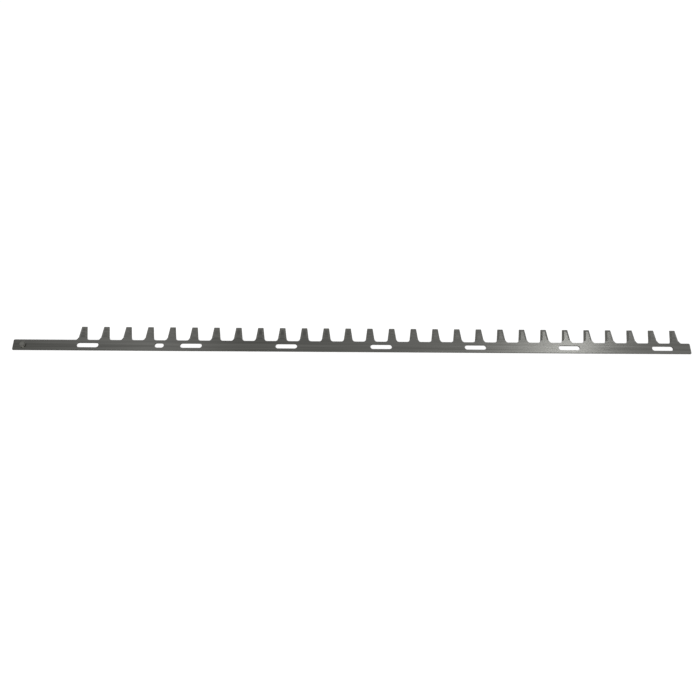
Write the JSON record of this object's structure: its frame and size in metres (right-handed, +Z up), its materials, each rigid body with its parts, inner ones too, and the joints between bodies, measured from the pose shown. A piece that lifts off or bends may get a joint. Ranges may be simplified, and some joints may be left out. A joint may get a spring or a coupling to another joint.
{
  "type": "hedge trimmer blade",
  "caption": "Long flat steel cutting blade with bevel-ground teeth along one edge, guide slots through its bar and a drive pin riveted into one end.",
  "frame": {"origin": "under the middle of the blade's outline, on the flat shear face that it lies on", "axes": "+X along the blade from the drive end to the nose, +Y from the back edge to the tooth tips, +Z up out of the bevelled face"},
  "size_m": [1.0756, 0.0412, 0.0055],
  "materials": {
    "blade_steel": "satin",
    "pin_steel": "satin"
  },
  "bodies": {
    "root": {"blade": "blade_steel", "drive_pin": "pin_steel"}
  },
  "joints": []
}
